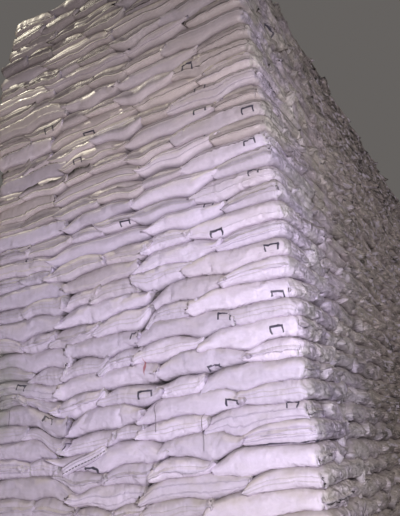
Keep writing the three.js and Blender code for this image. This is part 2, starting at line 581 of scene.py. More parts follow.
# No joint is quite where the bond puts it, and least of all one that stands over another
def shiftJoints(course, spots):
    random = draws("joints", course)
    most = settling["jointShiftMost"]
    for face, low, high, axis, first, second in neighbours(spots):
        place = second[axis][0]
        shift = float(np.clip(random.normal(0, settling["jointShift"]), -most, most))
        if np.abs(bondJoints[course - 1][face] - place).min() < settling["oneOver"]:
            way = 1 if (course // 2 + round(place * 2)) % 2 else -1
            shift = settling["spread"] * random.uniform(*settling["spreadShares"]) * way
        first[axis] = (first[axis][0], place + shift)
        second[axis] = (place + shift, second[axis][1])


joints = []
for course, spots in enumerate(layout):
    shiftJoints(course, spots)
    random = draws("dips", course)
    joints.append({
        face: (along, random.uniform(*settling["dipShares"], len(along)))
        for face, along in jointPlaces(spots).items()
    })


def dips(level, face, along):
    places, depths = joints[level][face]
    return (depths * np.exp(-(((along[..., None] - places) / settling["dipWidth"]) ** 2))).sum(-1)


def bedHeight(level, x, y, face):
    height = swell(x, y, floors[level]) + ripple(level, x, y)
    along = x if face in ("front", "back") else y
    for below, share in ((1, 1), (2, settling["passedOn"]), (0, -settling["pushedUp"])):
        if face and 0 <= level - below <= topCourse:
            height = height - settling["dip"] * share * dips(level - below, face, along)
    return floors[level] + freedom(level) * height


# From 0 to 1, how evenly the front's sacks lie
def calmness(course):
    return passed(floors[course], settling["calmHeights"])


# Along each face, one sack of each two neighbours lies over the other's end
def lapNeighbours(course, spots):
    random = draws("laps", course)
    floor, ceiling = floors[course], floors[course + 1]
    for face, low, high, axis, first, second in neighbours(spots):
        place = second[axis][0]
        height = random.uniform(*settling["lift"])
        if face == "front":
            scaly = passed(floor, settling["scaleHeights"]) * passed(place, settling["scalePlaces"])
            height *= 1 + settling["scaleLift"] * scaly
            height *= 1 - 0.5 * calmness(course)
        steep = random.random() < settling["steepShare"]
        for steepX, steepZ in settling["steepPlaces"]:
            steep = steep or (abs(place - steepX) < settling["steepReach"] and floor <= steepZ < ceiling)
        if face == "front" and steep and floor > settling["steepFrom"]:
            height = settling["steepLift"] * random.uniform(*settling["steepShares"])
        elif random.random() > settling["overShare"]:
            height = -height
        for spot, side, lift in ((first, high, height), (second, low, -height)):
            spot["lift"][side] = lift
            spot["lap"][side] = settling["lap"] * random.uniform(*settling["lapShares"])


for course, spots in enumerate(layout):
    lapNeighbours(course, spots)

# How finely each sack is drawn, as the step between the lines of its cloth that are kept
detail = {
    "front": 1,
    "frontFrom": 1.1,  # between these heights, and coarser below and above
    "frontTo": 5.3,
    "frontElsewhere": 2,
    "rightNear": 2,
    "nearDepth": 2.6,  # how far along the right face counts as near
    "other": 3,
    "endReach": 11,  # how many lines in from an end that shows, and from a side that shows
    "sideReach": 8,
    "nextLine": 1.4,  # where the next line after those is, as a share of them
    "hiddenLines": (0.36, 0.64),  # the few lines kept elsewhere, as shares of all
    "hiddenRim": 0.12,
}


def detailOf(spot, course):
    if "front" in spot["out"]:
        near = detail["frontFrom"] < floors[course] < detail["frontTo"]
        return detail["front" if near else "frontElsewhere"]
    if "right" in spot["out"] and spot["y"][0] < frontY + detail["nearDepth"]:
        return detail["rightNear"]
    return detail["other"]


# Lines close together near a rim that shows, and few elsewhere
def keptLines(count, step, lowShows, highShows, reach):
    last = count - 1
    close = [*range(0, reach, step), min(last, round(reach * detail["nextLine"]))]
    few = [round(last * detail["hiddenRim"])]
    kept = {0, last, *(round(last * share) for share in detail["hiddenLines"])}
    kept.update(close if lowShows else few)
    kept.update(last - line for line in (close if highShows else few))
    return sorted(kept)


def allLines(count, step):
    return [*range(0, count - step // 2 - 1, step), count - 1]


# The lines kept along a sack's cloth and across it. Its rims are named by the sides they lie to
def keptCloth(spot, course, counts, atEnd, atSide, rims):
    step = detailOf(spot, course)
    shows = [rim in spot["out"] for rim in rims]
    linesA = keptLines(counts[0], step, *shows[:2], detail["endReach"])
    linesB = keptLines(counts[1], step, *shows[2:], detail["sideReach"])
    if course == topCourse or atSide:
        linesA = allLines(counts[0], step)
    if course == topCourse or (atEnd and not atSide):
        linesB = allLines(counts[1], step)
    elif atEnd:
        linesB = sorted({*linesB, *allLines(counts[1], step * 3)})
    return linesA, linesB


# Nothing stands out further than the cloth may
def limited(values, low, high):
    free, spare = settling["free"], settling["spare"]
    middle, half = (low + high) / 2, (high - low) / 2 + free
    beyond = np.maximum(np.abs(values - middle) - half, 0)
    inside = np.minimum(np.abs(values - middle), half)
    return middle + np.sign(values - middle) * (inside + spare * np.tanh(beyond / spare))


# Pulls the square corner that points out of the stack in to a round one
def roundCorner(px, py, spot, radius):
    halfX, halfY = ((spot[axis][1] - spot[axis][0]) / 2 for axis in "xy")
    signX = 1 if "right" in spot["out"] else -1
    signY = 1 if "back" in spot["out"] else -1
    beyondX = np.maximum(signX * px * halfX - halfX + radius, 0)
    beyondY = np.maximum(signY * py * halfY - halfY + radius, 0)
    away = np.maximum(np.hypot(beyondX, beyondY), 1e-6)
    pulled = 1 - np.maximum(beyondX, beyondY) / away
    pulled[np.minimum(beyondX, beyondY) <= 0] = 0
    return px - signX * beyondX * pulled / halfX, py - signY * beyondY * pulled / halfY


# Places along one axis: out to its neighbours, and a little proud of the face or behind it
def spreadOut(part, spot, axis, low, high, proud):
    start, end = spot[axis]
    grow = [proud if side in spot["out"] else spot["lap"][side] for side in (low, high)]
    return (start + end) / 2 + part * ((end - start) / 2 + np.where(part < 0, *grow))


def ramp(part, start):
    return np.clip((part - start) / (1 - start), 0, 1.05) ** 1.7


def variantOf(atFront, atEnd, atSide, calm):
    if atEnd and atSide:
        return "corner"
    if atEnd and not atFront:
        return "end"
    if calm > 0.5:
        return "calmEnd" if atEnd else "calmSide"
    return "frontEnd" if atEnd else "side"


sackRandom = draws("sacks")


def placeSack(spot, course):
    shown = spot["out"]
    atFront = "front" in shown
    alongX = spot["x"][1] - spot["x"][0] > spot["y"][1] - spot["y"][0]
    ends = [side for side in shown if (side in ("left", "right")) == alongX]
    atSide = len(ends) < len(shown)
    endOnly = ends and not atSide
    calm = calmness(course) * atFront
    variant = variantOf(atFront, bool(ends), atSide, calm)
    shape = shapes[sackRandom.integers(len(sackKinds))][variant]
    flip = sackRandom.choice([-1, 1], 3)
    if endOnly:
        mouthOut = sackRandom.random() < settling["mouthOut"][0 if atFront else 1]
        flip[0] = 1 if (ends[0] in ("right", "back")) == mouthOut else -1
    proud = sackRandom.normal(0, settling["proud"]) + settling["proudMiddle"]
    sag = settling["sag"] * sackRandom.uniform(0, 2)
    looks = sackRandom.random(3)
    earPush = sackRandom.uniform(0, settling["earPush"], 4) ** 2
    earTurn = sackRandom.uniform(-settling["earTurn"], settling["earTurn"], 4)
    skew = sackRandom.normal(0, settling["skew"]) * (1 - 0.5 * calm if atFront else 1.4)
    phase = sackRandom.uniform(0, 6.3, 4)

    # its cloth, with the side that each rim lies to: its low and high end, then its low and high edge
    pairs = (("left", "right"), ("front", "back"))[:: 1 if alongX else -1]
    rims = [side for pair, way in zip(pairs, flip) for side in pair[::way]]
    linesA, linesB = keptCloth(spot, course, shape.shape[1:3], bool(ends), atSide, rims)
    inside, _, faces = twoLayerGrid(len(linesA), len(linesB))
    points = joinLayers(*shape[:, linesA][:, :, linesB], inside)
    along, across = np.meshgrid(clothAlong[linesA], clothAcross[linesB], indexing="ij")
    cloth = joinLayers(*(np.stack([along, across, along * 0 + layer], -1) for layer in (1, -1)), inside)
    along, across, layer = cloth.T

    leftward = passed(sum(spot["x"]) / 2, settling["flatPlaces"])
    full = settling["fullness"] * (1 - 0.6 * calm) + settling["flatFaces"] * calm * leftward
    w = np.tanh(full * points[:, 2]) / math.tanh(full) * flip[2] * settling["overfill"]
    u, v = points[:, 0] * flip[0], points[:, 1] * flip[1]
    px, py = (u, v) if alongX else (v, u)
    if variant == "corner":
        px, py = roundCorner(px, py, spot, settling["cornerRadius"] * (0.8 + 0.07 * phase[0]))
    if flip.prod() * (1 if alongX else -1) < 0:
        faces = faces[:, ::-1]
    x = spreadOut(px, spot, "x", "left", "right", proud)
    y = spreadOut(py, spot, "y", "front", "back", proud)
    lump = settling["lumps"] * (2 if variant == "end" else 1) * (1 - 0.6 * calm) * (
        np.sin(px * 9 + py * 4 + phase[0]) * np.sin(w * 3 + px * 3 + phase[1])
        + np.sin(py * 11 - px * 5 + phase[2]) * np.sin(w * 4 - py * 2 + phase[3])
    )
    if atFront or "back" in shown:
        y = y + skew * px + lump
    if "left" in shown or "right" in shown:
        x = x + skew * py + lump
    level = floors[course] + 0.08
    wander = settling["inOut"] * freedom(course)
    x = x + wander * (np.sin(y / 0.7 + level * 2.1) + 0.7 * np.sin(level * 5.3 + 1.0)) * 0.6
    y = y + wander * (np.sin(x / 0.6 + level * 1.7 + 2.0) + 0.7 * np.sin(level * 4.7 + 3.0)) * 0.6

    # between its two beds, with its ends over or under its neighbours'
    face = next((row[0] for row in faceRows if row[0] in shown), None)
    bottom, top = (bedHeight(bed, x, y, face) for bed in (course, course + 1))
    z = bottom + (top - bottom) * ((np.clip(w, -1.2, 1.2) + 1) / 2)
    for side, part in (("left", -px), ("right", px), ("front", -py), ("back", py)):
        atItsEnd = (side in ("left", "right")) == alongX
        weight = ramp(part, settling["liftFrom"][0 if atItsEnd else 1])
        height = -sag if side in shown else spot["lift"][side]
        z = z + height * weight * freedom(course + 1)

    # its corner tips stick out of the face
    tipU, tipV = settling["tipFrom"]
    tips = passed(np.abs(u), (tipU, 1)) * passed(np.abs(v), (tipV, 1))
    for number, (signU, signV) in enumerate(((-1, -1), (-1, 1), (1, -1), (1, 1))):
        here = tips * (u * signU > 0) * (v * signV > 0)
        push = here * earPush[number] * (variant != "corner")
        x = x + push * settling["sideEar"] * ("right" in shown)
        y = y - push * settling["ear"] * (1 - 0.7 * calm) * atFront
        z = z + here * settling["ear"] * earTurn[number] * (1 - 0.7 * calm)
    x = limited(x, cadBox[0].x, cadBox[1].x)
    y = limited(y, frontY, backY)
    z = np.maximum(z, settling["offFloor"])

    # how far above or below the cloth's outermost line, and how deep in a groove between two courses, for the
    # painted shade there
    edge = np.full(len(cloth), 9.0)
    starts = (along - clothAlong[0], clothAlong[-2] - along)
    edges = (across - clothAcross[0], clothAcross[-1] - across)
    for rim, distance in zip(rims, starts + edges):
        if rim in shown:
            edge = np.minimum(edge, np.abs(distance))
    side = layer * flip[2]
    groove = np.clip(edge / settling["grooveDepth"] - 1, 0, 1)
    if course == topCourse:
        groove[side > 0] = 0
    if not atSide:
        looks[2] = 0
    spot["points"] = np.stack([x, y, z], -1)
    spot["faces"] = faces
    spot["cloth"] = cloth
    spot["onFace"] = np.stack([edge * side, groove, across if endOnly else along], -1)
    spot["looks"] = looks
    spot["mark"] = (0, 0, 0)


for course, spots in enumerate(layout):
    for spot in spots:
        if spot["out"] or course == topCourse:
            placeSack(spot, course)
frontSacks = [spot for spots in layout for spot in spots if "front" in spot["out"]]
report("sacks placed")


# Blank frames are printed on some sacks, plain outlines with nothing in them

printedFrames = {
    "size": (0.100, 0.056),
    "places": [  # across from the middle of the front face, and above the floor
        (1.47, 3.11), (1.47, 2.74), (1.00, 2.64), (0.19, 2.65), (1.42, 2.45), (0.86, 2.27), (0.22, 2.14),
        (1.00, 1.97), (1.45, 1.91), (-0.63, 1.81), (-1.21, 2.38), (-0.81, 2.06), (-0.38, 1.59), (1.52, 1.63),
        (0.90, 5.09), (0.99, 4.83), (1.40, 4.67), (0.97, 4.57), (1.43, 4.39), (1.04, 4.31), (1.42, 4.09),
        (1.41, 3.80), (0.95, 3.66), (0.07, 3.72), (1.42, 3.46), (1.03, 3.34), (-0.82, 5.07), (-1.31, 4.02),
        (-1.11, 3.67), (-0.45, 4.55), (-0.32, 4.86),
    ],
    "drop": 0.024,
    "fromEnd": 0.085,  # its middle, from the end of the sack
    "reach": 0.03,  # how near the place the cloth has to be
    "depth": 0.1,  # how far behind the stack's face cloth can carry one
    "elsewhere": 0.03,  # share of the other faces' sacks that show one
    "alongShare": 0.7,  # how far to the ends of those sacks it may be
    "heights": (-0.06, 0.04),
}


# The sack that shows at a place of the front face, and where on its cloth the place is
def markFront(x, z):
    best = None
    for spot in frontSacks:
        points = spot["points"]
        distance = np.hypot(points[:, 0] - x, points[:, 2] - z)
        distance[points[:, 1] > frontY + printedFrames["depth"]] = 9
        nearest = distance.argmin()
        depth = points[nearest, 1] + distance[nearest]
        if distance[nearest] <= printedFrames["reach"] and (best is None or depth < best[0]):
            best = (depth, spot, nearest)
    if best:
        _, spot, nearest = best
        edge, _, along = spot["onFace"][nearest]
        room = clothEnd - printedFrames["fromEnd"]
        spot["mark"] = (float(np.clip(along, -room, room)), edge, 1)


frameRandom = draws("frames")
for spots in layout:
    for spot in spots:
        elsewhere = "points" in spot and "front" not in spot["out"]
        if elsewhere and frameRandom.random() < printedFrames["elsewhere"]:
            reach = np.abs(spot["onFace"][:, 2]).max() * printedFrames["alongShare"]
            along = frameRandom.uniform(-reach, reach)
            spot["mark"] = (along, frameRandom.uniform(*printedFrames["heights"]), 1)
for x, z in printedFrames["places"]:
    markFront(x, z - printedFrames["drop"])
report("frames printed")

frontPoints = np.concatenate([spot["points"] for spot in frontSacks])


# How far out the front stands at a place
def frontAt(x, z):
    near = (np.abs(frontPoints[:, 0] - x) < 0.03) & (np.abs(frontPoints[:, 2] - z) < 0.02)
    return frontPoints[near, 1].min() if near.any() else frontY


# The sewn mouth of one sack is turned up over the front and lies across its neighbours

mouthFlap = {
    "from": (-0.70, 1.555),  # across from the middle, and above the floor
    "to": (-0.20, 1.745),
    "width": 0.092,
    "taper": 0.28,  # how much narrower it is at its ends
    "bow": 0.012,
    "thickness": 0.007,
    "lift": 0.004,  # off the sacks below it
    "crumple": 0.0015,
    "tucked": 0.05,  # how far its ends go in between them
    "tuckedShare": 0.2,  # of its length, where they do
    "evenings": 3,  # rounds in which its hollows are evened out
    "seamDrop": 0.016,  # how far below its middle the seam runs
    "clothLength": 0.55,
    "cells": (26, 6),
    "looks": (0.5, 1.0, 0.93),  # its tint, mood and folds
    "mark": (9, 9, 2),  # its seam is sewn with dark thread
}


def addFlap(flap):
    countU, countV = (count + 1 for count in flap["cells"])
    inside, _, faces = twoLayerGrid(countU, countV)
    start, end = np.array(flap["from"]), np.array(flap["to"])
    ahead = (end - start) / np.linalg.norm(end - start)
    aside = np.array([-ahead[1], ahead[0]])
    u, v = np.meshgrid(np.linspace(0, 1, countU), np.linspace(-0.5, 0.5, countV), indexing="ij")
    middle = np.sin(math.pi * u)
    bow = flap["bow"] * np.sin(u * 5.2 + 0.4)
    across = v * flap["width"] * (1 - flap["taper"] + flap["taper"] * middle) + bow
    place = start + (end - start) * u[..., None] + aside * across[..., None]
    rest = np.array([[frontAt(px, pz) for px, pz in row] for row in place])
    for _ in range(flap["evenings"]):
        rest[1:-1] = np.minimum(rest[1:-1], (rest[:-2] + rest[2:]) / 2)
    tucked = passed(np.abs(u - 0.5) * 2, (1 - flap["tuckedShare"], 1))
    crumple = np.cumsum(draws("flap").normal(0, flap["crumple"], u.shape), axis=0)
    out = rest - flap["lift"] - crumple * middle + tucked**2 * flap["tucked"]
    out = np.maximum(out, frontY - settling["free"] - settling["spare"])
    layers = (np.stack([place[..., 0], y, place[..., 1]], -1) for y in (out - flap["thickness"], out))
    height = v * flap["width"]
    along = u * flap["clothLength"]
    seam = clothEnd - clothSack["seamInset"] + flap["seamDrop"]
    cloth = np.stack([seam + height, along, u * 0], -1)
    onFace = np.stack([height, u * 0, along], -1)
    course = int(np.searchsorted(floors, flap["from"][1])) - 1
    layout[course].append({
        "out": [],
        "points": joinLayers(*layers, inside),
        "faces": faces,
        "cloth": joinLayers(cloth, cloth, inside),
        "onFace": joinLayers(onFace, onFace, inside),
        "looks": flap["looks"],
        "mark": flap["mark"],
        "trim": True,
    })


addFlap(mouthFlap)
report("mouth flap laid")


def addAttribute(mesh, name, values):
    attribute = mesh.attributes.new(name, "FLOAT_VECTOR", "POINT")
    attribute.data.foreach_set("vector", np.asarray(values, dtype=np.float32).ravel())


def joinCourse(course, spots, material):
    shown = [spot for spot in spots if "points" in spot]
    counts = [len(spot["points"]) for spot in shown]
    starts = np.cumsum([0] + counts)
    points = np.concatenate([spot["points"] for spot in shown])
    faces = np.concatenate([spot["faces"] + start for spot, start in zip(shown, starts)])
    obj = addMesh("sacks_%s" % courseNames[course], points, faces)
    mesh = obj.data
    for name in ("cloth", "onFace"):
        addAttribute(mesh, name, np.concatenate([spot[name] for spot in shown]))
    for name in ("looks", "mark"):
        addAttribute(mesh, name, np.repeat([spot[name] for spot in shown], counts, axis=0))
    mesh.polygons.foreach_set("use_smooth", np.ones(len(faces), dtype=bool))
    mesh.materials.append(material)
    return obj


# A node's operation, as a method of the sockets it takes
def combined(operation):
    return lambda self, *others: self.math(operation, self, *others)


# Node trees are written as sums and products of sockets
class Wire:
    def __init__(self, tree, socket):
        self.tree = tree
        self.socket = socket

    def beside(self, name):
        return Wire(self.tree, self.socket.node.outputs[name])

    def math(self, operation, *values):
        return self.tree.add("ShaderNodeMath", {"operation": operation}, dict(enumerate(values)))

    __add__ = __radd__ = combined("ADD")
    __sub__ = combined("SUBTRACT")
    __mul__ = __rmul__ = combined("MULTIPLY")
    __gt__ = combined("GREATER_THAN")
    __abs__ = combined("ABSOLUTE")
    larger = combined("MAXIMUM")
    sine = combined("SINE")

    def __rsub__(self, other):
        return self.math("SUBTRACT", other, self)

    # 0 below start and 1 above end, with a smooth step between, or the other way round
    def step(self, start, end):
        turned = start > end
        values = {"Value": self, "From Min": min(start, end), "From Max": max(start, end)}
        values.update({"To Min": float(turned), "To Max": float(not turned)})
        return self.tree.add("ShaderNodeMapRange", {"interpolation_type": "SMOOTHSTEP"}, values)


class Tree:
    def __init__(self, nodeTree):
        self.nodes = nodeTree.nodes
        self.links = nodeTree.links

    def join(self, value, socket):
        if isinstance(value, Wire):
            self.links.new(value.socket, socket)
        else:
            socket.default_value = value

    def add(self, kind, settings, values, output=0):
        node = self.nodes.new(kind)
        for name, value in settings.items():
            setattr(node, name, value)
        for name, value in values.items():
            self.join(value, node.inputs[name])
        return None if output is None else Wire(self, node.outputs[output])

    def attribute(self, name):
        return self.add("ShaderNodeAttribute", {"attribute_name": name}, {}, "Vector")

    def parts(self, vector):
        x = self.add("ShaderNodeSeparateXYZ", {}, {0: vector})
        return x, x.beside("Y"), x.beside("Z")

    def vector(self, x, y, z):
        return self.add("ShaderNodeCombineXYZ", {}, {0: x, 1: y, 2: z})

    def noise(self, vector, scale, detail):
        return self.add("ShaderNodeTexNoise", {}, {"Vector": vector, "Scale": scale, "Detail": detail})

    # Colours: the first below, the second above by a share
    def blend(self, share, first, second, way="MIX"):
        settings = {"data_type": "RGBA", "blend_type": way}
        return self.add("ShaderNodeMix", settings, {0: share, 6: first, 7: second}, 2)


# A material with its tree and the inputs of its shader
def newMaterial(name):
    material = bpy.data.materials.new(name)
    material.use_nodes = True
    return material, Tree(material.node_tree), material.node_tree.nodes["Principled BSDF"].inputs


# Woven polypropylene, satin and crinkled, with sewn ends, the dust of a store, and painted shade, glints and
# highlights

wovenLook = {
    "lilac": (0.79, 0.69, 0.90, 1),
    "beige": (0.61, 0.51, 0.52, 1),
    "violet": (0.62, 0.54, 0.78, 1),
    "green": (0.50, 0.52, 0.44, 1),
    "olive": (0.50, 0.425, 0.415, 1),
    "stain": (0.34, 0.35, 0.30, 1),
    "stainPlace": (-1.55, 2.35),
    "brown": (0.36, 0.29, 0.25, 1),
    "dust": (0.47, 0.41, 0.36, 1),
    "jointShade": (0.10, 0.08, 0.08, 1),
    "ink": (0.025, 0.022, 0.05, 1),
    "rust": (0.35, 0.02, 0.03, 1),
    "thread": (0.62, 0.55, 0.60, 1),
    "foldShade": (0.24, 0.17, 0.30, 1),
    "foldHighlight": (0.98, 0.90, 0.76, 1),
    "glint": (0.80, 0.71, 0.86, 1),
    "calmHeights": (2.7, 4.3),  # where the front's cloth becomes smoother
    "farHeights": (2.3, 5.4),  # where it becomes a darker beige, upwards and along the stack, partly a beige tone and partly painted shade
    "farDepths": (0.3, 3.2),
    "cornerDepths": (0.08, 0.22),  # from the front and the back, where the right face's look begins
    "deepDepths": (0.2, 3.5),  # where the right face becomes browner, darker and rougher, partly a dirtier tone and partly painted shade
    "closeDepths": (2.2, 0.5),  # where its crumples become broader
    "lowerHeights": (3.4, 1.4),  # where it becomes browner and darker still, partly a dirtier tone and partly painted shade
    "nearFloorHeights": (1.75, 1.0),  # greyer near the floor
    "shadyHeights": (4.9, 6.3),  # and darker high up, painted shade
    "foldHighlightPlaces": (1.1, -0.3),  # across the front, where its folds carry a painted highlight
    "roughness": 0.37,
    "gloss": 0.36,
    "tape": 0.0027,
    "weaveHeight": 0.00012,
    "crinkleHeight": 0.0055,
    "crumpleHeight": 0.030,
    "creaseHeight": 0.010,
    "pleatHeight": 0.0035,
    "pleatLength": 0.16,
    "longFoldHeight": 0.011,
    "ridgePlaces": (-0.018, 0.038),
    "ridgeWidth": 0.011,
    "ridgeHeight": 0.008,
    "foldDepth": 0.003,
    "foldGap": 0.026,
    "foldWidth": 0.009,
    "foldShare": 0.20,
    "seamDepth": 0.0015,
    "stitchPitch": 0.009,
    "darkPitch": 0.036,
    "tipLength": 0.03,
    "frameLine": 0.015,
    "rustPlace": (0.22, 2.35),
}


def makeWovenSack(look):
    material, tree, inputs = newMaterial("woven_sack")
    along, across, _ = tree.parts(tree.attribute("cloth"))
    edge, groove, faceAlong = tree.parts(tree.attribute("onFace"))
    tint, mood, fold = tree.parts(tree.attribute("looks"))
    frameAlong, frameEdge, framed = tree.parts(tree.attribute("mark"))
    place = tree.add("ShaderNodeTexCoord", {}, {}, "Object")
    x, y, z = tree.parts(place)
    normalX, _, normalZ = tree.parts(place.beside("Normal"))

    # the weave: tapes over and under each other
    warp, weft = ((part * (math.pi / look["tape"])).sine() for part in (across, along))
    over = warp * weft > 0
    weave = abs(warp) * over + abs(weft) * (1 - over)

    # how far it faces to the right, how deep along the stack it is, and how calm, higher up at the front
    depth = y - frontY
    onSide = depth.step(*look["cornerDepths"]) * (backY - y).step(*look["cornerDepths"])
    onSide = onSide * x.step(0.6, 1.0) * normalZ.step(0.9, 0.5)
    aside = normalX.step(0.4, 0.95).larger(onSide * 0.7)
    deep = depth.step(*look["deepDepths"])
    close = depth.step(*look["closeDepths"])
    calm = z.step(*look["calmHeights"]) * (1 - aside)
    lower = z.step(*look["lowerHeights"])

    # creases, crinkles, the pleats that run in from a sewn end, and the right face's crumples
    own = tint * 37
    crease = tree.noise(tree.vector(along, across * 2.4, own), 7, 2)
    crinkle = tree.noise(tree.vector(along * 0.8, across, own), 34, 3)
    crinkled = (0.4 + mood * 0.6) * (1 - 0.92 * calm) + aside * (1.5 + deep)
    height = crease * (1 - 0.65 * calm) * look["creaseHeight"] + crinkle * crinkled * look["crinkleHeight"]
    nearEnd = abs(along).step(clothEnd - look["pleatLength"], clothEnd)
    pleat = tree.noise(tree.vector(along * 0.12, across, own), 62, 1)
    height = height + pleat * nearEnd * (1 + 2 * aside) * look["pleatHeight"]
    fine = tree.noise(tree.vector(x * 10, y * 7, z * 32 + tint * 9), 1, 2)
    broad = tree.noise(tree.vector(x * 6, y * 6, z * 15 + tint * 9), 1, 2)
    crumple = abs(fine - 0.5) * 2 * (1 - close) + abs(broad - 0.5) * 2 * close
    steepness = (1 + close * (1.1 * tint - 0.35)) * depth.step(0.05, 0.24)
    height = height + crumple * aside * steepness * look["crumpleHeight"]

    # two lines on some sacks, where the empty sack was folded lengthways
    wander = (fold - 0.86) * 0.12
    line = abs(abs(edge + wander + (crease - 0.5) * 0.008) - look["foldGap"]).step(look["foldWidth"], 0)
    line = line * (fold > 1 - look["foldShare"])
    height = height - line * look["foldDepth"]

    # the fold along its side, which stays sharp where the sack lies flatter
    rim = edge + (crease - 0.5) * 0.02 + (tint - 0.5) * 0.014
    nearRidge, farRidge = (abs(rim - middle).step(look["ridgeWidth"], 0) for middle in look["ridgePlaces"])
    lowRidge = nearRidge * tint.step(0.35, 0.5)
    highRidge = farRidge * tint.step(0.75, 0.6)
    ridge = highRidge.larger(lowRidge)
    height = height + (highRidge + lowRidge * 1.3) * calm * look["ridgeHeight"]
    longFolds = tree.noise(tree.vector(along * 0.06, edge, own), 34, 1)
    height = height + longFolds * (0.25 + 0.15 * calm) * (1 - aside) * look["longFoldHeight"]

    # the seam with its stitches
    fromSeam = abs(abs(along) - (clothEnd - clothSack["seamInset"]))
    seam = fromSeam.step(0.006, 0.001)
    stitches = (across * (2 * math.pi / look["stitchPitch"])).sine() > -0.3
    dashes = (across * (2 * math.pi / look["darkPitch"])).sine() > -0.45
    stitch = fromSeam.step(0.0016, 0.0008) * stitches
    darkSeam = fromSeam.step(0.0065, 0.004) * dashes * (framed > 1.5)
    height = height - seam * look["seamDepth"] + stitch * look["seamDepth"]
    height = height + weave * (1 - 0.8 * calm) * look["weaveHeight"]

    # how far the other colours come over it: dust on what faces up, painted shade deep in the joints and at
    # the sacks' ends, painted glints on the right face and a painted highlight along the folds
    patches = tree.noise(place, 1.3, 3)
    # a darker beige upwards and along the stack: partly a beige tone and partly painted shade of the light
    # falling off
    far = z.step(*look["farHeights"]) + depth.step(*look["farDepths"])
    far = (far + (patches - 0.5) * 0.9 + (tint - 0.5) * 0.5).step(0.0, 1.15)
    hue = tree.noise(place, 2.7, 3).step(0.40, 0.60)
    # painted glints: pale specks on the right face, more of them deep along it
    glint = tree.noise(tree.vector(x * 4, y * 5, z * 22 + tint * 5), 1, 1).step(0.56, 0.64)
    smudge = tree.noise(place, 9, 4)
    # dust on what faces up, and a greyer tone near the floor
    low = z.step(*look["nearFloorHeights"])
    dust = (normalZ.step(-0.15, 0.85) * 0.75 + low * 0.45) * (0.25 + 0.9 * smudge)
    # painted shade deep in the joints between the sacks, and near the ends of the calmer sacks
    jointShade = groove * (0.3 + 0.7 * smudge) * (1 + 0.4 * aside - 0.35 * calm)
    tip = abs(along).step(clothEnd - look["tipLength"], clothEnd)
    # painted highlight: a pale cream line along the sharp folds of the calmer sacks at the left
    foldHighlight = ridge * calm * x.step(*look["foldHighlightPlaces"]) * (0.35 + 0.5 * smudge)

    # a stain at the left of the front, and one rusty run
    stainX, stainZ = look["stainPlace"]
    stain = (abs(x - stainX) * 1.2 + abs(z - stainZ) + (smudge - 0.5) * 0.9).step(0.78, 0.15)
    stain = stain * depth.step(0.5, 0.2)
    runX, runZ = look["rustPlace"]
    run = (abs(x - runX) * 5 + abs(z - runZ) + (smudge - 0.5) * 0.06).step(0.09, 0.05)
    run = run * (1 - (depth > 0.3))

    # the printed frame
    halfLength, halfHeight = (size / 2 for size in printedFrames["size"])
    outside = (abs(faceAlong - frameAlong) - halfLength).larger(abs(edge - frameEdge) - halfHeight)
    ink = abs(outside).step(look["frameLine"] * 0.7, look["frameLine"] * 0.3) * framed * (0.65 + 0.5 * smudge)
    ink = ink * (edge - frameEdge > look["frameLine"] / 2 - halfHeight)

    # its colours, each over the ones before it
    colour = look["lilac"]
    for share, name in (
        (far, "beige"),
        # the right face in other colours: partly a dustier tone and partly painted shade of a face turned
        # from the light, browner deep along the stack and low down
        (aside * 0.62 * (1 - hue) * (1 - 0.7 * deep), "violet"),
        (aside * (0.05 + 0.25 * mood + 0.40 * deep), "olive"),
        (aside * 0.40 * hue * (1 - 0.5 * deep), "green"),
        (aside * (0.25 * deep + 0.65 * deep * lower) * (0.4 + crease), "brown"),
    ):
        colour = tree.blend(share, colour, look[name])
    # painted shade in the colour: darker in the crinkles' hollows and high up, and on the right face darker
    # in its crumples and streaks, low down and deep along; with a tone that differs at random from sack to
    # sack
    shade = 0.80 + 0.26 * mood + (crinkle - 0.5) * 0.25 - 0.34 * z.step(*look["shadyHeights"])
    streak = tree.noise(tree.vector(x * 3, y * 3, z * 16), 1, 3)
    shade = shade + aside * ((crumple - 0.2) * (1.6 + 0.4 * deep) + (streak - 0.5) * 2.6 * (0.3 + 0.7 * deep))
    shade = shade + aside * (0.08 - 0.21 * lower - 0.04 * deep)
    colour = tree.blend(1.0, colour, tree.vector(shade, shade, shade), "MULTIPLY")
    for share, name in (
        (glint * aside * deep * 0.85, "glint"),
        (dust, "dust"),
        # painted shade in the joints, and at the ends of the calmer sacks
        (jointShade, "jointShade"),
        (tip * calm * smudge, "jointShade"),
        (stain * 0.6, "stain"),
        (line * 0.30, "foldShade"),
        (foldHighlight, "foldHighlight"),
        (seam * 0.25, "dust"),
        (stitch * 0.5, "thread"),
        (darkSeam * 0.8, "ink"),
        (ink, "ink"),
        (run * 0.7, "rust"),
    ):
        colour = tree.blend(share, colour, look[name])
    tree.join(colour, inputs["Base Color"])

    roughness = look["roughness"] - (0.01 + 0.09 * ridge) * calm + 0.14 * crinkle * (1 - 0.5 * calm)
    tree.join(roughness + 0.3 * dust * (1 - 0.6 * calm), inputs["Roughness"])
    tree.join(look["gloss"], inputs["Specular IOR Level"])
    normal = tree.add("ShaderNodeBump", {}, {"Strength": 1.0, "Distance": 1.0, "Height": height})
    tree.join(normal, inputs["Normal"])
    return material


wovenSack = makeWovenSack(wovenLook)

triangles = 0
for course, (spots, name) in enumerate(zip(layout, courseNames)):
    piece = joinCourse(course, spots, wovenSack)
    triangles += len(piece.data.polygons) * 2
    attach(piece, "root")
    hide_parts(name)
report("%d courses joined, %d triangles" % (len(layout), triangles))

# Inside the stack, plain filled sacks between the outer ones

innerSack = {
    "clearance": 0.012,  # left between neighbours
    "filled": 0.96,  # of the height between its beds
    "pinch": 0.45,  # how much thinner it is at its rim
    "bulge": 0.16,  # how far its middle line stands out
    "turn": 0.012,
}


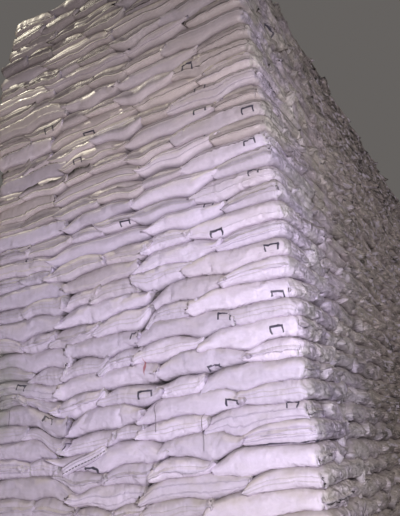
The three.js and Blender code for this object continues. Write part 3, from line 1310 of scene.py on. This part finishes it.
# One point for each, with the way it lies and its size
def innerPlaces():
    middles = []
    turns = []
    sizes = []
    for course, spots in enumerate(layout[:-1]):
        for spot in spots:
            if spot["out"] or "trim" in spot:
                continue
            x, y = (sum(spot[axis]) / 2 for axis in "xy")
            spanX, spanY = (spot[axis][1] - spot[axis][0] - innerSack["clearance"] for axis in "xy")
            bottom, top = (bedHeight(level, x, y, None) for level in (course, course + 1))
            middles.append((x, y, (bottom + top) / 2))
            turns.append(0 if spanX > spanY else math.pi / 2)
            sizes.append((max(spanX, spanY), min(spanX, spanY), (top - bottom) * innerSack["filled"]))
    return middles, turns, sizes


# A pillow of a few faces is set on every point, turned and sized by it
def innerSackTree(kinds):
    group = bpy.data.node_groups.new("inner_sacks", "GeometryNodeTree")
    names = {}
    for name, kind in kinds.items():
        socket = group.interface.new_socket(name=name, in_out="INPUT", socket_type="NodeSocket" + kind)
        names[name] = socket.identifier
    group.interface.new_socket(name="Sacks", in_out="OUTPUT", socket_type="NodeSocketGeometry")
    tree = Tree(group)
    given = tree.add("NodeGroupInput", {}, {}, "Places")
    pillow = tree.add("GeometryNodeMeshCube", {}, {"Vertices X": 3, "Vertices Y": 3, "Vertices Z": 3})
    x, y, z = tree.parts(tree.add("GeometryNodeInputPosition", {}, {}))
    thinner = 1 - abs(x).larger(abs(y)).step(0.2, 0.5) * given.beside("Pinch")
    inwards = 1 - abs(z) * given.beside("Bulge")
    shaped = tree.vector(x * inwards, y * inwards, z * thinner)
    pillow = tree.add("GeometryNodeStoreNamedAttribute", {"data_type": "FLOAT_VECTOR"}, {
        "Geometry": pillow,
        "Name": "cloth",
        "Value": tree.vector(x * clothSack["length"], y * clothSack["width"], z),
    })
    pillow = tree.add("GeometryNodeSetPosition", {}, {"Geometry": pillow, "Position": shaped})
    turn = tree.add("GeometryNodeInputNamedAttribute", {"data_type": "FLOAT"}, {"Name": "turn"})
    size = tree.add("GeometryNodeInputNamedAttribute", {"data_type": "FLOAT_VECTOR"}, {"Name": "size"})
    seed = {"Seed": given.beside("Seed")}
    shares = tree.add("FunctionNodeRandomValue", {"data_type": "FLOAT_VECTOR"}, seed)
    turned = tree.parts(shares)[0] - 0.5
    sacks = tree.add("GeometryNodeInstanceOnPoints", {}, {
        "Points": given,
        "Instance": pillow,
        "Rotation": tree.vector(0, 0, turn + turned * given.beside("Turn")),
        "Scale": size,
    })
    settings = {"data_type": "FLOAT_VECTOR", "domain": "INSTANCE"}
    values = {"Geometry": sacks, "Name": "looks", "Value": shares}
    sacks = tree.add("GeometryNodeStoreNamedAttribute", settings, values)
    sacks = tree.add("GeometryNodeRealizeInstances", {}, {"Geometry": sacks})
    sacks = tree.add("GeometryNodeSetMaterial", {}, {"Geometry": sacks, "Material": given.beside("Material")})
    tree.add("NodeGroupOutput", {}, {"Sacks": sacks}, None)
    return group, names


def addInnerSacks(material):
    middles, turns, sizes = innerPlaces()
    places = addMesh("inner_places", middles, np.empty((0, 4), dtype=int))
    turnValues = places.data.attributes.new("turn", "FLOAT", "POINT")
    turnValues.data.foreach_set("value", np.array(turns, dtype=np.float32))
    addAttribute(places.data, "size", sizes)
    values = {
        "Pinch": innerSack["pinch"],
        "Bulge": innerSack["bulge"],
        "Turn": innerSack["turn"] * 2,
        "Seed": seeds["inner"],
        "Material": material,
    }
    kinds = dict(zip(values, ("Float", "Float", "Float", "Int", "Material")))
    group, names = innerSackTree({"Places": "Geometry", **kinds})
    modifier = places.modifiers.new("sacks", "NODES")
    modifier.node_group = group
    for name, value in values.items():
        modifier[names[name]] = value
    depsgraph = bpy.context.evaluated_depsgraph_get()
    mesh = bpy.data.meshes.new_from_object(places.evaluated_get(depsgraph), depsgraph=depsgraph)
    bpy.data.objects.remove(places)
    return addObject("inner_sacks", mesh), len(middles)


innerSacks, innerCount = addInnerSacks(wovenSack)
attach(innerSacks, "root")
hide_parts(*courseNames[:-1])
report("%d inner sacks, %d faces" % (innerCount, len(innerSacks.data.polygons)))

# Loose ends of sewing thread hang from the mouths of a few sacks

looseThreads = {
    "thickness": 0.004,
    "clearance": 0.003,
    "search": 0.07,  # how far above and below for the joint it comes out of
    "startDepth": 0.012,  # where it comes out of the joint, behind the stack's face
    "settle": 0.035,  # how far down it hangs free of the cloth
    "waver": 0.004,
    "waves": 31,
    "points": 28,
    "colour": (0.10, 0.08, 0.11, 1),
    "paler": (0.30, 0.25, 0.30, 1),
    "roughness": 0.8,
    "runs": [(0.748, 1.834, 1.63), (0.312, 2.028, 1.812), (-1.315, 2.198, 2.028)],  # across, from, down to
}


def makeThreadLook(look):
    material, tree, inputs = newMaterial("sewing_thread")
    x, _, z = tree.parts(tree.add("ShaderNodeTexCoord", {}, {}, "Object"))
    twist = (z * 2400 + x * 1500).sine() * 0.5 + 0.5
    tree.join(tree.blend(twist, look["colour"], look["paler"]), inputs["Base Color"])
    tree.join(look["roughness"], inputs["Roughness"])
    return material


def addThread(number, x, top, end, look, material):
    search = np.linspace(top - look["search"], top + look["search"], 15)
    joint = max(search, key=lambda height: frontAt(x, height))
    heights = np.linspace(joint, end, look["points"])
    surface = min(frontAt(x, height) for height in heights)
    out = surface - look["clearance"] - look["thickness"] / 2
    start = frontY + look["startDepth"]
    down = np.clip((joint - heights) / look["settle"], 0, 1)
    path = []
    for height, share in zip(heights, np.sin(down * math.pi / 2)):
        waver = look["waver"] * share * math.sin((joint - height) * look["waves"] + number * 2)
        path.append((x + waver, start + (out - start) * share, height))
    curve = bpy.data.curves.new("loose_thread_%d" % number, "CURVE")
    curve.dimensions = "3D"
    curve.bevel_depth = look["thickness"] / 2
    curve.bevel_resolution = 2
    curve.use_fill_caps = True
    spline = curve.splines.new("POLY")
    spline.points.add(len(path) - 1)
    for point, place in zip(spline.points, path):
        point.co = (*place, 1)
    curve.materials.append(material)
    thread = addObject(curve.name, curve)
    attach(thread, "root")
    length = sum(math.dist(a, b) for a, b in zip(path, path[1:]))
    return length


threadLook = makeThreadLook(looseThreads)
for number, (x, top, end) in enumerate(looseThreads["runs"], 1):
    length = addThread(number, x, top, end, looseThreads, threadLook)
    report("loose thread %d, %.3f m" % (number, length))

# Floor, light and surroundings

studio = {
    "floorSize": 120,
    "floorColour": (0.62, 0.61, 0.60, 1),
    "floorRoughness": 0.85,
    "worldColour": (0.90, 0.84, 0.80, 1),
    "worldStrength": 0.145,
    # place and aim from the foot of the near corner, size, power and colour
    "lights": [
        ((2.0, -4.2, 2.1), (-1.0, 0, 2.1), 0.8, 230, (0.98, 0.96, 1.0)),
        ((-10.3, -1.54, 17.1), (-2.6, 0, 4.4), 0.6, 900, (1.0, 0.92, 0.72)),
        ((-12.0, 14.0, 9.0), (-1.6, 4.6, 3.2), 5.0, 2200, (1.0, 0.98, 0.96)),
        ((9.0, 5.0, 8.0), (0, 5.0, 3.8), 4.0, 170, (1.0, 0.93, 0.92)),
    ],
}

bpy.context.scene.view_settings.view_transform = "Standard"


def addStudio(plan):
    floor = addSquare("floor", plan["floorSize"] / 2, 0, 1)
    material, tree, inputs = newMaterial("floor")
    tree.join(plan["floorColour"], inputs["Base Color"])
    tree.join(plan["floorRoughness"], inputs["Roughness"])
    floor.data.materials.append(material)
    world = bpy.data.worlds.new("studio")
    world.use_nodes = True
    background = world.node_tree.nodes["Background"]
    background.inputs["Color"].default_value = plan["worldColour"]
    background.inputs["Strength"].default_value = plan["worldStrength"]
    bpy.context.scene.world = world
    for number, (place, aim, size, power, colour) in enumerate(plan["lights"]):
        data = bpy.data.lights.new("light_%d" % number, "AREA")
        data.energy = power
        data.size = size
        data.color = colour
        lamp = addObject(data.name, data)
        lamp.location = cornerFoot + Vector(place)
        ahead = Vector(aim) - Vector(place)
        lamp.rotation_euler = ahead.to_track_quat("-Z", "Y").to_euler()


addStudio(studio)
report("studio ready")
